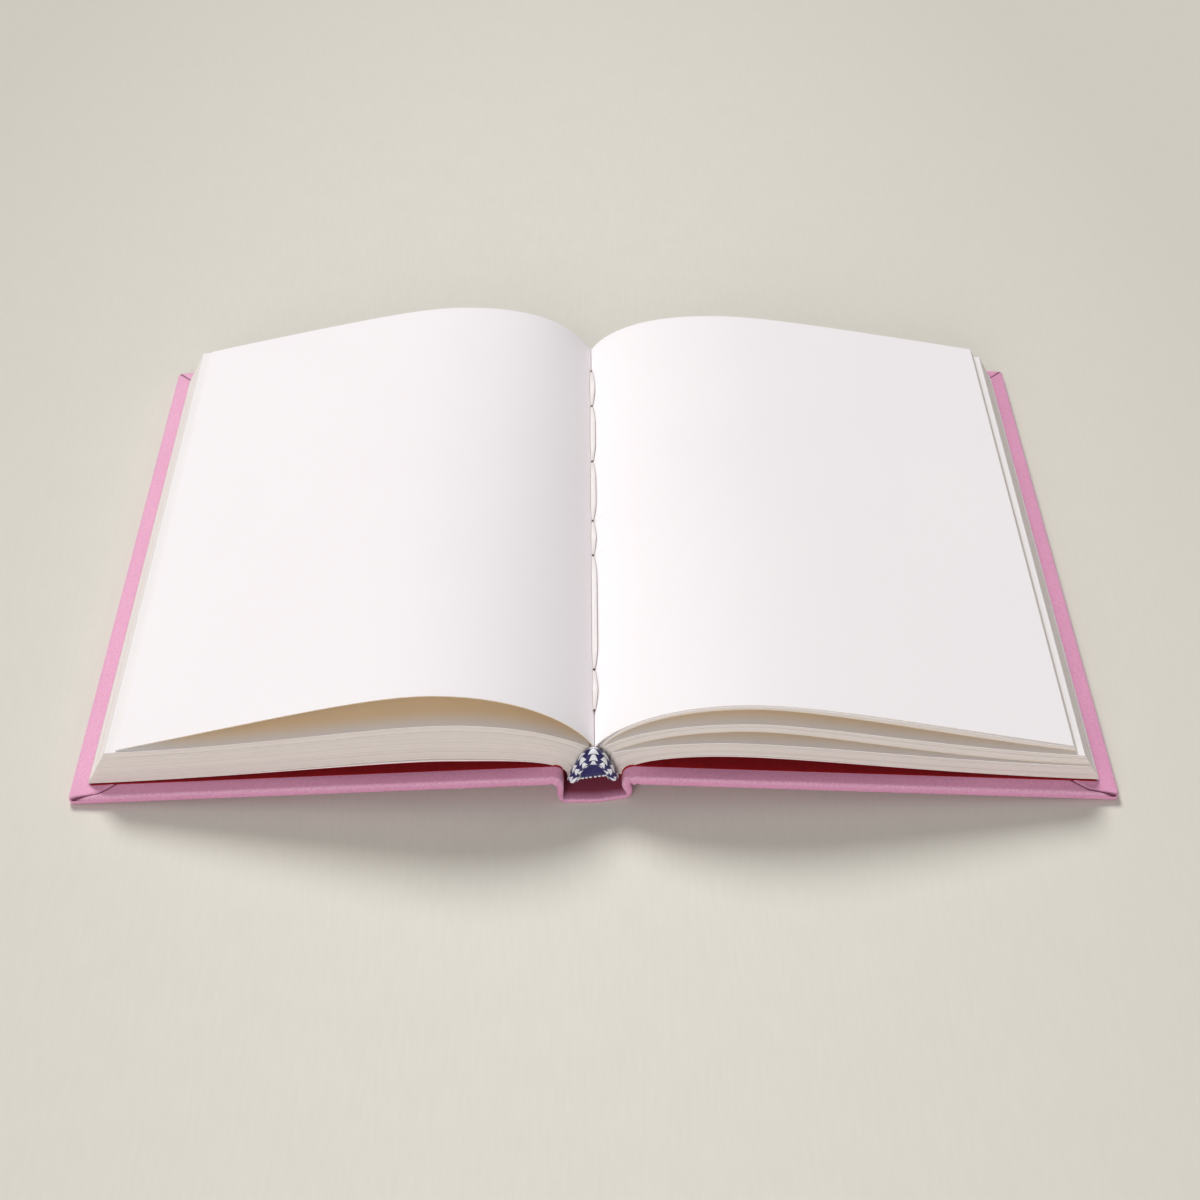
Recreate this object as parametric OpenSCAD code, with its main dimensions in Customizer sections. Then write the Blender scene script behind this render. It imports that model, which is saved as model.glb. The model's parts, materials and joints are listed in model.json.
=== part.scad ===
// Case-bound notebook lying open at its middle, with the spine down on a table.
// The origin is on the table under the middle of the spine.
// X runs across the two halves, Y along the spine towards the head, Z up.

/* [Covers] */
// Width of each cover from its hinge line to the fore-edge
cover_w = 142.6; // [139:0.1:160]
// Length of the covers from tail to head
cover_l = 223; // [218:0.5:240]
// Thickness of the greyboard in each cover
board_t = 2.3; // [1.6:0.1:3.5]
// Thickness of the cover cloth
cloth_t = 0.35; // [0.2:0.05:0.6]
// Rounding of the cloth over the edges of the board
edge_r = 1; // [0.7:0.1:1.4]
// Rounding of the fore-edge corners, seen from above
corner_r = 1.5; // [1.5:0.5:8]
// Depth of the cloth turned in over the inner face of the board
turn_in = 15; // [8:1:25]
// Width of the cloth left showing round the pastedown
pastedown_margin = 5; // [2:0.5:9]
// Width of the seam where two turn-ins meet in a corner
mitre_w = 0.4; // [0.2:0.1:0.8]
// Depth of that seam
mitre_d = 0.2; // [0.1:0.05:0.2]
// Thickness of the endpapers
paper_t = 0.15; // [0.1:0.01:0.25]

/* [Case spine] */
// Outer width of the case spine, which the notebook stands on
spine_w = 21.6; // [20.4:0.2:30]
// Height of the two hinge lines above the table
spine_h = 7.2; // [6.8:0.1:10]
// Thickness of the joint, where the cloth is doubled by its turn-in
joint_t = 1.5; // [1:0.1:1.8]
// How far each joint bends in towards the text block
joint_bend = 0.8; // [0.2:0.1:1.2]
// Height of the joint's rolled top edge above the hinge line
joint_lip = 0.9; // [0.6:0.1:1.1]
// Distance from the side of the case spine to the hinge line
hinge_gap = 0.5; // [0.4:0.05:1]
// Width of the card strip inside the case spine
inlay_w = 17.6; // [10:0.2:18]
// Thickness of the card strip inside the case spine
inlay_t = 0.6; // [0.3:0.05:1]

/* [Text block] */
// Length of the pages from tail to head
page_l = 210; // [195:0.5:214]
// Reach of the lowest page from the middle of the spine to the fore-edge
page_w = 148.6; // [140:0.1:149]
// How far the text block sits towards the tail of the case
page_shift = 0.8; // [0:0.1:2]
// Height of the open fold above the table
gutter_h = 17.5; // [16.5:0.1:20]
// Width of the flat at the bottom of the open fold
gutter_w = 1.2; // [0.8:0.1:2]
// Height of the hollow arch under the folded sections
arch_h = 14.6; // [12:0.1:15]
// Height of the two ends of that arch
arch_foot_h = 6.4; // [6:0.1:6.6]
// Thickness of the outermost section at the foot of the arch
foot_t = 0.9; // [0.7:0.1:1.4]
// Air between the text block and the joints of the case
block_gap = 0.55; // [0.4:0.05:1]
// Air between a flyleaf and the pastedown under it
rest_gap = 0.25; // [0.2:0.05:0.5]
// Thickness of the open-weave lining glued to the folds
lining_t = 0.3; // [0.2:0.05:0.5]

/* [Left half] */
// Thickness of the left stack of pages
left_t = 13.9; // [8:0.1:14.4]
// Height of the underside of the left stack at its crest
left_lift = 12.9; // [12:0.1:14]
// Distance of that crest from the middle of the spine
left_crest = 42; // [30:0.5:55]
// Lean of the left fore-edge from upright, in degrees
left_lean = 28; // [0:1:40]
// Rise of the loose top leaf over the stack at its crest
leaf_rise = 11.1; // [4:0.1:14]
// Distance of the loose leaf's crest from the middle of the spine
leaf_crest = 46.6; // [35:0.2:60]
// How far the loose leaf is drawn back from the edge of the stack
leaf_back = 3.1; // [1:0.1:8]
// Thickness of the loose leaf
leaf_t = 0.3; // [0.2:0.05:0.6]

/* [Right half] */
// Height of the underside of the right half at its crest
right_lift = 13.9; // [12:0.1:14.5]
// Thickness of the lowest group of pages at its crest
low_t = 5.1; // [2:0.1:6]
// Thickness of the lowest group at the fore-edge
low_edge_t = 6.1; // [2:0.1:7]
// Distance of the lowest group's crest from the middle of the spine
low_crest = 36.3; // [28:0.1:45]
// Height of the gap between the lowest and the middle group
low_gap = 4.2; // [1.5:0.1:6]
// Thickness of the middle group of pages at its crest
mid_t = 3.3; // [1:0.1:4]
// Thickness of the middle group at the fore-edge
mid_edge_t = 4.7; // [1:0.1:6]
// Distance of the middle group's crest from the middle of the spine
mid_crest = 43.5; // [35:0.1:52]
// Height of the gap between the middle and the top group
top_gap = 5.4; // [2:0.1:8]
// Thickness of the top group of pages at its crest
top_t = 1.8; // [0.6:0.1:3]
// Thickness of the top group at the fore-edge
top_edge_t = 2.5; // [0.6:0.1:4]
// Distance of the top group's crest from the middle of the spine
top_crest = 44.4; // [36:0.1:54]
// How far the top group is drawn back from the middle group
top_back = 2.5; // [0.5:0.1:6]
// Lean of the right fore-edge from upright, in degrees
right_lean = 30; // [0:1:40]
// Least air between two groups at the fore-edge
group_gap = 0.4; // [0.2:0.05:1]

/* [Sewing and bands] */
// Diameter of the sewing thread in the open fold
thread_d = 0.6; // [0.4:0.05:0.7]
// Distance of the first and the last sewing hole from the ends of the pages
kettle_in = 15; // [10:0.5:25]
// Length of page left free between two stitches
thread_step = 2; // [1:0.1:6]
// Air between the thread and the paper under it
thread_gap = 0.05; // [0.02:0.01:0.1]
// Depth of the rolled bead of the bands, along the spine
bead_d = 4.4; // [2:0.1:5]
// Height of the tail band's arch over its feet, outside
band_rise = 12.6; // [10:0.1:13]
// How much lower the head band rises, so that it stays below the open fold
head_band_drop = 2.8; // [0:0.1:3.5]
// Height of the opening under the band's arch
band_opening = 7; // [6:0.1:9]
// Half the width of the opening under the band's arch
band_inner = 3.9; // [3:0.1:5]
// Height above the table of the hem of the cloth that hangs inside the band's arch
band_hem = 8; // [7:0.1:10]
// Thickness of the band's tape under the folds
tape_t = 0.4; // [0.2:0.05:0.6]
// Length of the tape glued under the folds
tape_l = 12; // [6:0.5:20]

/* [Hidden] */

cloth_pink = [0.9, 0.6, 0.75];
paper_white = [0.97, 0.95, 0.95];
endpaper_red = [0.5, 0.05, 0.06];
greyboard = [0.62, 0.6, 0.57];
lining_white = [0.85, 0.83, 0.78];
band_navy = [0.12, 0.11, 0.4];

// Proportions of the stitches in the open fold, from the head to the tail
stitches = [22, 33, 33, 18, 55, 18];

// Angles at which the leaves leave the fold
left_under_rise = 90;
left_over_rise = 27;
leaf_under_rise = 66;
leaf_over_rise = 67;
low_under_rise = 88;
low_over_rise = 17;
mid_under_rise = 30;
mid_over_rise = 38;
top_under_rise = 60;
top_over_rise = 61;

// Angles at which the leaves fall to the fore-edge
left_over_fall = 3.2;
leaf_fall = 14.4;
low_over_fall = 3.4;
mid_under_fall = 3.3;
mid_over_fall = 4.5;
top_under_fall = 9.6;
top_over_fall = 11.1;
// Slope from the middle group's fore-edge up to that of the top group
top_slope = 30;

// Stretch of the spine's floor that rounds up into the joint
floor_round = 2.4;
// How far the joint swells out above the floor and draws in below the hinge line
joint_swell = 0.4;
// How far the joint's rolled top edge leans out
lip_out = 0.3;
// Drops below the hinge line at which the joint's inner face starts and from which it bends
waist_drop = [0.2, 2];
// Offset of the left stack's top crest from its underside's crest plus the stack's thickness
left_crest_shift = [-0.8, -0.4];
// How far the band's feet hang below the feet of the arch
band_drop = 0.2;
// How far the cloth inside the band's arch reaches into the bead
hang_in = 0.6;
// How far the lining stops short of each end of the pages
lining_in = 3;
// Reach of a cutting solid past the face that it cuts
cut = 1;

// Pull of the four handles that shape a leaf, as shares of the two stretches of the leaf
root_pull = 0.16;
crest_in_pull = 0.54;
crest_out_pull = 0.21;
edge_pull = 0.44;
leaf_steps = 9;
arch_steps = 6;
round_steps = 5;
bead_sides = 12;
bead_rings = 20;

cover_t = board_t + 2 * cloth_t;
hinge_x = spine_w / 2 + hinge_gap;
cover_tilt = asin(spine_h / (cover_w - edge_r));
waist_x = spine_w / 2 - joint_t - joint_bend;
foot_x = waist_x - block_gap - paper_t;
page_y = -page_shift;
floor_t = 2 * cloth_t + inlay_t;
band_base = arch_foot_h - band_drop;

// Height of the inner face of a cover, with its pastedown, at a distance from the middle of the spine
function inner_face(x) =
    let (top = cover_t + paper_t, run = (x - hinge_x - top * sin(cover_tilt)) / cos(cover_tilt))
    spine_h - run * sin(cover_tilt) + top * cos(cover_tilt);

function bezier(a, b, c, d, t) =
    pow(1 - t, 3) * a + 3 * pow(1 - t, 2) * t * b + 3 * (1 - t) * t * t * c + pow(t, 3) * d;

// Sum of the first values of a list
function sum(list, count) = count == 0 ? 0 : list[count - 1] + sum(list, count - 1);

// Points of a stretch between two ends with two handles, without its last point
function stretch(a, b, c, d, steps) = [for (i = [0 : steps - 1]) bezier(a, b, c, d, i / steps)];

function towards(angle) = [cos(angle), sin(angle)];

// A leaf seen from the tail: it leaves its root at one angle, crests level and falls to its edge
function leaf(root, rise, crest, edge, fall) =
    let (inner = norm(crest - root), outer = norm(edge - crest))
    concat(
        stretch(root, root + root_pull * inner * towards(rise),
                crest - [crest_in_pull * inner, 0], crest, leaf_steps),
        stretch(crest, crest + [crest_out_pull * outer, 0],
                edge - edge_pull * outer * towards(-fall), edge, leaf_steps),
        [edge]);

function reversed(points) = [for (i = [len(points) - 1 : -1 : 0]) points[i]];

function mirrored(points) = [for (p = points) [-p[0], p[1]]];

function joined(lists) = [for (l = lists) for (p = l) p];

// Point at the upper end of a stack's fore-edge that leans back from its lower end
function edge_top(lower, thickness, lean) = lower + thickness * [-sin(lean), cos(lean)];

// Arch under the folds, from its crown down to one foot, drawn in by a margin
function arch(margin) =
    let (w = foot_x - foot_t - margin, h = arch_h - arch_foot_h - margin)
    [for (i = [0 : arch_steps]) let (s = i / arch_steps) [w * s, arch_foot_h + h * (1 - s * s)]];

lowest_edge = [page_w, inner_face(page_w) + rest_gap + paper_t];
foot = [foot_x, arch_foot_h];

// Edge of the flat in the open fold, and the roots of the gaps between the groups, set off from it
gutter_edge = [gutter_w / 2, gutter_h];
tunnel_root = gutter_edge + [1, 0.2];
top_gap_root = gutter_edge + [2, 0.2];
low_gap_root = gutter_edge + [4.4, -2.2];

left_under = leaf(foot, left_under_rise, [left_crest, left_lift], lowest_edge, cover_tilt);
left_top_edge = edge_top(lowest_edge, left_t, left_lean);
left_top_crest = [left_crest, left_lift + left_t] + left_crest_shift;
left_over = leaf(tunnel_root, left_over_rise, left_top_crest, left_top_edge, left_over_fall);
leaf_edge = left_top_edge + [-leaf_back, leaf_back * tan(left_over_fall) + group_gap];
leaf_crest_h = left_lift + left_t + leaf_rise;
leaf_under = leaf(tunnel_root, leaf_under_rise, [leaf_crest, leaf_crest_h - leaf_t], leaf_edge, leaf_fall);
leaf_over = leaf(gutter_edge, leaf_over_rise, [leaf_crest, leaf_crest_h], leaf_edge + [0, leaf_t],
                 leaf_fall);

low_under = leaf(foot, low_under_rise, [low_crest, right_lift], lowest_edge, cover_tilt);
low_top_edge = edge_top(lowest_edge, low_edge_t, right_lean);
low_top_h = right_lift + low_t;
low_over = leaf(low_gap_root, low_over_rise, [low_crest, low_top_h], low_top_edge, low_over_fall);
mid_edge = low_top_edge + [-group_gap / 2, group_gap];
mid_top_edge = edge_top(mid_edge, mid_edge_t, right_lean);
mid_h = low_top_h + low_gap;
mid_under = leaf(low_gap_root, mid_under_rise, [mid_crest, mid_h], mid_edge, mid_under_fall);
mid_over = leaf(top_gap_root, mid_over_rise, [mid_crest, mid_h + mid_t], mid_top_edge, mid_over_fall);
top_edge = mid_top_edge + [-top_back, top_back * tan(top_slope)];
top_top_edge = edge_top(top_edge, top_edge_t, right_lean);
top_h = mid_h + mid_t + top_gap;
top_under = leaf(top_gap_root, top_under_rise, [top_crest, top_h], top_edge, top_under_fall);
top_over = leaf(gutter_edge, top_over_rise, [top_crest, top_h + top_t], top_top_edge, top_over_fall);

left_half = concat(arch(0), left_under, reversed(left_over), leaf_under, reversed(leaf_over));
right_half = concat(arch(0), low_under, reversed(low_over), mid_under, reversed(mid_over),
                    top_under, reversed(top_over));

// Outline in X and Z carried along Y, centred on the pages or on the case
module along_spine(length, y) {
    translate([0, y, 0])
        rotate([90, 0, 0])
            linear_extrude(length, center = true) children();
}

// Quarter circle about a centre, from one angle on; with no radius it is a sharp corner
function quarter(centre, r, from) =
    r == 0 ? [centre] : [for (i = [0 : round_steps]) centre + r * towards(from + 90 * i / round_steps)];

// Rectangle from the origin with a radius at each corner, in turn from the origin round
function rounded(w, h, r) = concat(
    quarter([r[0], r[0]], r[0], 180), quarter([w - r[1], r[1]], r[1], 270),
    quarter([w - r[2], h - r[2]], r[2], 0), quarter([r[3], h - r[3]], r[3], 90));

// Slab with rounded edges and rounded fore-edge corners; its hinge side is at x = 0
module slab(w, l, t, r, corner, hinge_r) {
    intersection() {
        translate([0, l / 2, 0])
            rotate([90, 0, 0])
                linear_extrude(l) polygon(rounded(w, t, [0, r, r, hinge_r]));
        translate([0, -l / 2, 0])
            rotate([90, 0, 90])
                linear_extrude(w) polygon(rounded(l, t, [r, r, r, r]));
        translate([0, -l / 2, 0])
            linear_extrude(t) polygon(rounded(w, l, [0, corner, corner, 0]));
    }
}

// The right cover's own frame: x from the hinge line to the fore-edge, z through the board
module cover_place() {
    translate([hinge_x, 0, spine_h])
        rotate([0, cover_tilt, 0]) children();
}

module cover_board() {
    color(greyboard)
        cover_place()
            translate([hinge_gap, 0, cloth_t])
                slab(cover_w - hinge_gap - cloth_t, cover_l - 2 * cloth_t, board_t,
                     edge_r - cloth_t, corner_r - cloth_t, edge_r);
}

// Cloth round the board: outer face, three wrapped edges and the turn-ins with their mitres
module cover_cloth() {
    w = cover_w - hinge_gap;
    window_w = w - turn_in;
    window_l = cover_l - 2 * turn_in;
    color(cloth_pink)
        cover_place()
            difference() {
                translate([hinge_gap, 0, 0]) slab(w, cover_l, cover_t, edge_r, corner_r, edge_r);
                translate([hinge_gap, 0, cloth_t])
                    slab(w - cloth_t, cover_l - 2 * cloth_t, board_t,
                         edge_r - cloth_t, corner_r - cloth_t, edge_r);
                translate([hinge_gap - cut, -window_l / 2, cover_t - 1.5 * cloth_t])
                    cube([window_w + cut, window_l, 2 * cloth_t]);
                for (side = [-1, 1])
                    translate([cover_w, side * cover_l / 2, cover_t])
                        rotate([0, 0, side * -135])
                            cube([2 * (turn_in * sqrt(2) + cut), mitre_w, 2 * mitre_d], center = true);
            }
}

// Red endpaper glued to the board: it lies on the turn-ins and drops to the board between them
module pastedown() {
    w = cover_w - hinge_gap - pastedown_margin - edge_r;
    l = cover_l - 2 * pastedown_margin;
    well_w = cover_w - hinge_gap - turn_in - edge_r;
    well_l = cover_l - 2 * turn_in;
    color(endpaper_red)
        cover_place()
            translate([hinge_gap + edge_r, 0, cover_t - cloth_t])
                difference() {
                    translate([0, -l / 2, 0]) cube([w, l, cloth_t + paper_t]);
                    translate([-cut, -well_l / 2 + paper_t, paper_t])
                        cube([well_w - paper_t + cut, well_l - 2 * paper_t, cloth_t + cut]);
                    difference() {
                        translate([-cut, -l / 2 - cut, -cut])
                            cube([w + 2 * cut, l + 2 * cut, cloth_t + cut]);
                        translate([-2 * cut, -well_l / 2, -2 * cut])
                            cube([well_w + 2 * cut, well_l, cloth_t + 3 * cut]);
                    }
                }
}

module left_board() { mirror([1, 0, 0]) cover_board(); }
module left_cover_cloth() { mirror([1, 0, 0]) cover_cloth(); }
module left_pastedown() { mirror([1, 0, 0]) pastedown(); }
module right_board() { cover_board(); }
module right_cover_cloth() { cover_cloth(); }
module right_pastedown() { pastedown(); }

// Half outline of the case spine: flat floor, rolled corner, and a joint that bends in and out
function joint_outline() =
    let (out = spine_w / 2, inside = out - joint_t, tip = [waist_x + joint_t / 2 + lip_out,
         spine_h + joint_lip - joint_t / 2])
    concat(
        [[0, 0]],
        stretch([out - floor_round, 0], [out, 0], [out + joint_swell, spine_h / 2],
                [out - joint_swell, spine_h], leaf_steps),
        quarter(tip, joint_t / 2, 0),
        quarter(tip, joint_t / 2, 90),
        stretch([waist_x, spine_h - waist_drop[0]], [waist_x, spine_h - waist_drop[1]],
                [inside + lip_out, spine_h / 2], [inside, floor_t], leaf_steps),
        [[inside, floor_t], [0, floor_t]]);

// Cloth of the case spine with its joints, and the pocket and window of the card strip
module spine_cloth() {
    half = joint_outline();
    color(cloth_pink)
        difference() {
            along_spine(cover_l, 0) polygon(concat(half, reversed(mirrored(half))));
            translate([-inlay_w / 2, -cover_l / 2 + cloth_t, cloth_t])
                cube([inlay_w, cover_l - 2 * cloth_t, inlay_t]);
            translate([-inlay_w / 2, -cover_l / 2 + turn_in, cloth_t])
                cube([inlay_w, cover_l - 2 * turn_in, floor_t]);
        }
}

module spine_inlay() {
    color(greyboard)
        translate([-inlay_w / 2, -cover_l / 2 + cloth_t, cloth_t])
            cube([inlay_w, cover_l - 2 * cloth_t, inlay_t]);
}

module page_block() {
    color(paper_white)
        along_spine(page_l, page_y)
            polygon(concat(right_half, reversed(mirrored(left_half))));
}

// Free leaf of an endpaper, under the pages of one half
module flyleaf(lift, crest, rise) {
    color(paper_white)
        along_spine(page_l, page_y)
            polygon(concat(
                leaf(foot + [paper_t, 0], rise, [crest, lift - paper_t],
                     lowest_edge - [0, paper_t], cover_tilt),
                reversed(leaf(foot, rise, [crest, lift], lowest_edge, cover_tilt))));
}

module left_flyleaf() { mirror([1, 0, 0]) flyleaf(left_lift, left_crest, left_under_rise); }
module right_flyleaf() { flyleaf(right_lift, low_crest, low_under_rise); }

// Strip under the folds between two margins from the arch
module under_arch(from, to, length, y) {
    outer = arch(from);
    inner = arch(to);
    along_spine(length, y)
        polygon(concat(reversed(mirrored(outer)), outer, reversed(inner), mirrored(inner)));
}

module spine_lining() {
    color(lining_white) under_arch(0, lining_t, page_l - 2 * lining_in, page_y);
}

// Rings of the bead: each is an ellipse between the inner and the outer arch of the band
function bead_ring(angle, y, rise) =
    let (outer = [foot_x * sin(angle), band_base + rise * pow(cos(angle), 2)],
         inner = [band_inner * sin(angle), band_base + band_opening * cos(angle)],
         middle = (outer + inner) / 2, reach = (outer - inner) / 2)
    [for (j = [0 : bead_sides - 1])
        let (turn = 360 * j / bead_sides, p = middle + reach * cos(turn))
        [p[0], y + bead_d / 2 * sin(turn), p[1]]];

// Cloth that hangs inside the bead, from its inner side down to a level hem
module band_hanging(y) {
    w = band_inner + hang_in;
    h = band_opening + hang_in;
    half = acos((band_hem - band_base) / h);
    along_spine(tape_t, y)
        polygon([for (i = [-arch_steps : arch_steps])
            let (angle = half * i / arch_steps) [w * sin(angle), band_base + h * cos(angle)]]);
}

// Band at one end of the spine: a rolled bead in front of the folds, cloth hanging inside it
// and a tape under the folds
module band(end, rise) {
    edge_y = page_y + end * page_l / 2;
    bead_y = edge_y + end * (bead_d / 2 + thread_gap);
    rings = [for (i = [0 : bead_rings]) bead_ring(-90 + 180 * i / bead_rings, bead_y, rise)];
    last = bead_rings * bead_sides;
    color(band_navy) {
        polyhedron(joined(rings), concat(
            [[for (j = [bead_sides - 1 : -1 : 0]) j]],
            [for (i = [0 : bead_rings - 1], j = [0 : bead_sides - 1])
                let (a = i * bead_sides + j, b = i * bead_sides + (j + 1) % bead_sides)
                [a, b, b + bead_sides, a + bead_sides]],
            [[for (j = [0 : bead_sides - 1]) last + j]]));
        band_hanging(bead_y);
        under_arch(lining_t, lining_t + tape_t, tape_l + bead_d / 2,
                   edge_y - end * (tape_l - bead_d / 2) / 2);
    }
}

module head_band() { band(1, band_rise - head_band_drop); }
module tail_band() { band(-1, band_rise); }

// One stitch lying in the open fold between two stations
module stitch(from, to) {
    half = abs(from - to) / 2 - thread_step / 2;
    r = thread_d / 2;
    translate([0, page_y + (from + to) / 2, gutter_h + thread_gap + r])
        rotate([90, 0, 0])
            rotate_extrude($fn = 24)
                polygon(concat([[0, -half]], quarter([0, r - half], r, -90),
                               quarter([0, half - r], r, 0)));
}

// Distance of a sewing hole from the middle of the pages, counted from the head
function station(i) =
    let (span = page_l - 2 * kettle_in)
    page_l / 2 - kettle_in - span * sum(stitches, i) / sum(stitches, len(stitches));

module sewing_thread() {
    color(paper_white)
        for (i = [0 : len(stitches) - 1]) stitch(station(i), station(i + 1));
}

page_block();
left_flyleaf();
right_flyleaf();
spine_lining();
head_band();
tail_band();
sewing_thread();
spine_cloth();
spine_inlay();
left_board();
left_cover_cloth();
left_pastedown();
right_board();
right_cover_cloth();
right_pastedown();
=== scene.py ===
# Opened case-bound notebook: the finish of every surface, the single leaves and the woven bands.
# Sizes are in millimetres in the notebook's own frame, and become metres when a mesh is made.
import json
import math

import bmesh
import bpy
import numpy as np
from mathutils import Matrix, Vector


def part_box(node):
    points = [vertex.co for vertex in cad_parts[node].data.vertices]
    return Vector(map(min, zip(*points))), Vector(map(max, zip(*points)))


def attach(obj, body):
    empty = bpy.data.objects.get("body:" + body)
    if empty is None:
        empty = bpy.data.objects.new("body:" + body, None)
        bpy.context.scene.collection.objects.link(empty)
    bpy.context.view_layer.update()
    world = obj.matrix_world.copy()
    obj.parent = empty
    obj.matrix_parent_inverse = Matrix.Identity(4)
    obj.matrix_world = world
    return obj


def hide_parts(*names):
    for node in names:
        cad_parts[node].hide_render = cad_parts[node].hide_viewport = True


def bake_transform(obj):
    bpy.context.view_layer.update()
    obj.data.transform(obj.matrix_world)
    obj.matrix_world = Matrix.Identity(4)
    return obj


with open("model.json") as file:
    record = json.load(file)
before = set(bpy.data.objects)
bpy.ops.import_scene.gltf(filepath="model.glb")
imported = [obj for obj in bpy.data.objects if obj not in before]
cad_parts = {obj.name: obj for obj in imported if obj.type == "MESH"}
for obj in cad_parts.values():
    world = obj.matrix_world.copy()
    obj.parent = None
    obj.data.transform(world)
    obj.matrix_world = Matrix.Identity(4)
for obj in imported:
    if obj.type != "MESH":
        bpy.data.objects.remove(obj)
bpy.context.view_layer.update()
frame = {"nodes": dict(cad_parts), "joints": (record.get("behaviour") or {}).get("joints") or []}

MM = 0.001
rng = np.random.default_rng(7)


def box_mm(node):
    """Lowest and highest corner of a CAD node in millimetres."""
    low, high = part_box(node)
    return np.array(low) / MM, np.array(high) / MM


# Sizes read from the frame
page_low, page_high = box_mm("page_block")
PAGE_TAIL, PAGE_HEAD = page_low[1], page_high[1]
COVER_L = box_mm("spine_cloth")[1][1] * 2
HINGE_X = abs(frame["joints"][0]["pos_m"][0]) / MM
HINGE_Z = frame["joints"][0]["pos_m"][2] / MM

# Driving sizes of the covers and the case spine, as in the part's source
COVER_W = 142.6
COVER_T = 3.0
COVER_TILT = math.asin(HINGE_Z / (COVER_W - 1))
CLOTH_T = 0.35
EDGE_R = 1.0
CORNER_R = 1.5
TURN_IN = 15.0
MARGIN = 5.0
PAPER_T = 0.15
FLOOR_T = 1.3
INLAY_W, INLAY_T = 17.6, 0.6

# Finish of the case: its slanting tail end, the folds at its joints, its seams and the painted highlight on
# its rounded edges
SPINE_SLANT, SLANT_REACH = 1.5, 12.0
TURN_IN_LINES = 17.5
SEAM_DEPTH, SEAM_HALF = 0.3, 0.33
SEAM_LIP, SEAM_LIP_OFF, SEAM_LIP_HALF = 0.16, 0.75, 0.7
TIP_REACH, TIP_WIDENING = 9.0, 0.45
RIM_FROM_EDGE, RIM_HALF = 0.42, 0.36
NOTCH, NOTCH_X, NOTCH_HALF = 0.5, 0.9, 0.28
SWELL, SWELL_X, SWELL_HALF = 0.3, -0.3, 0.7
FOLD_REACH = 1.5
SIDE_NAMES = {-1: "left", 1: "right"}
NO_SEAM, FAR_FROM_EDGE = 9.0, -50.0
FLOOR_POINTS, WALL_POINTS, LIP_POINTS = 6, 16, 8

# Driving sizes of the text block, as in the part's source
FOOT = np.array([7.8, 6.4])
FOOT_T = 0.9
ARCH_H = 14.6
GUTTER_H = 17.5
LOWEST_EDGE_X = 148.6
REST_GAP = 0.25
LEFT_T, LEFT_LIFT, LEFT_CREST, LEFT_LEAN = 13.9, 12.9, 42.0, 28.0
LEAF_RISE, LEAF_CREST, LEAF_BACK, LEAF_T = 11.1, 46.6, 3.1, 0.3
RIGHT_LIFT, RIGHT_LEAN = 13.9, 30.0
LOW_T, LOW_EDGE_T, LOW_CREST, LOW_GAP = 5.1, 6.1, 36.3, 4.2
MID_T, MID_EDGE_T, MID_CREST = 3.3, 4.7, 43.5
TOP_GAP, TOP_T, TOP_EDGE_T, TOP_CREST, TOP_BACK = 5.4, 1.8, 2.5, 44.4, 2.5
GROUP_GAP = 0.4
LEAF_STEPS = 16

# Sewing and bands
KETTLE_IN = 15.0
STITCHES = np.array([22, 33, 33, 18, 55, 18])
STITCHES = STITCHES / STITCHES.sum() * (PAGE_HEAD - PAGE_TAIL - 2 * KETTLE_IN)
STATIONS = (PAGE_HEAD - PAGE_TAIL) / 2 - KETTLE_IN - np.concatenate([[0], np.cumsum(STITCHES)])
BAND_BASE, BAND_RISE, BAND_OPENING, BAND_INNER, BEAD_D = 6.2, 12.6, 7.0, 3.9, 4.4
HEAD_BAND_DROP = 2.8


def towards(angle):
    """Unit vector at an angle in degrees."""
    return np.array([math.cos(math.radians(angle)), math.sin(math.radians(angle))])


def bezier(a, b, c, d, steps, last=False):
    """Points of a curve with two handles, with or without its last point."""
    t = np.linspace(0, 1, steps + 1)[:, None]
    points = (1 - t) ** 3 * a + 3 * (1 - t) ** 2 * t * b + 3 * (1 - t) * t * t * c + t ** 3 * d
    return points if last else points[:-1]


def leaf(root, rise, crest, edge, fall):
    """A leaf seen from the tail: it leaves its root at one angle, crests level and falls to its edge."""
    root, crest, edge = (np.array(p, float) for p in (root, crest, edge))
    inner = np.linalg.norm(crest - root)
    outer = np.linalg.norm(edge - crest)
    level = np.array([1.0, 0.0])
    return np.concatenate([
        bezier(root, root + 0.16 * inner * towards(rise), crest - 0.54 * inner * level, crest, LEAF_STEPS),
        bezier(crest, crest + 0.21 * outer * level, edge - 0.44 * outer * towards(-fall), edge,
               LEAF_STEPS, last=True)])


def inner_face(x):
    """Height of the inner face of a cover, with its pastedown."""
    top = COVER_T + PAPER_T
    run = (x - HINGE_X - top * math.sin(COVER_TILT)) / math.cos(COVER_TILT)
    return HINGE_Z - run * math.sin(COVER_TILT) + top * math.cos(COVER_TILT)


def edge_top(lower, thickness, lean):
    """Upper end of a stack's fore-edge that leans back from its lower end."""
    return lower + thickness * np.array([-math.sin(math.radians(lean)), math.cos(math.radians(lean))])


def arch_point(x):
    """Point of the hollow arch under the folds, at a distance from the middle."""
    reach = FOOT[0] - FOOT_T
    return np.array([x, FOOT[1] + (ARCH_H - FOOT[1]) * (1 - (x / reach) ** 2)])


# Mesh tools

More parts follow.
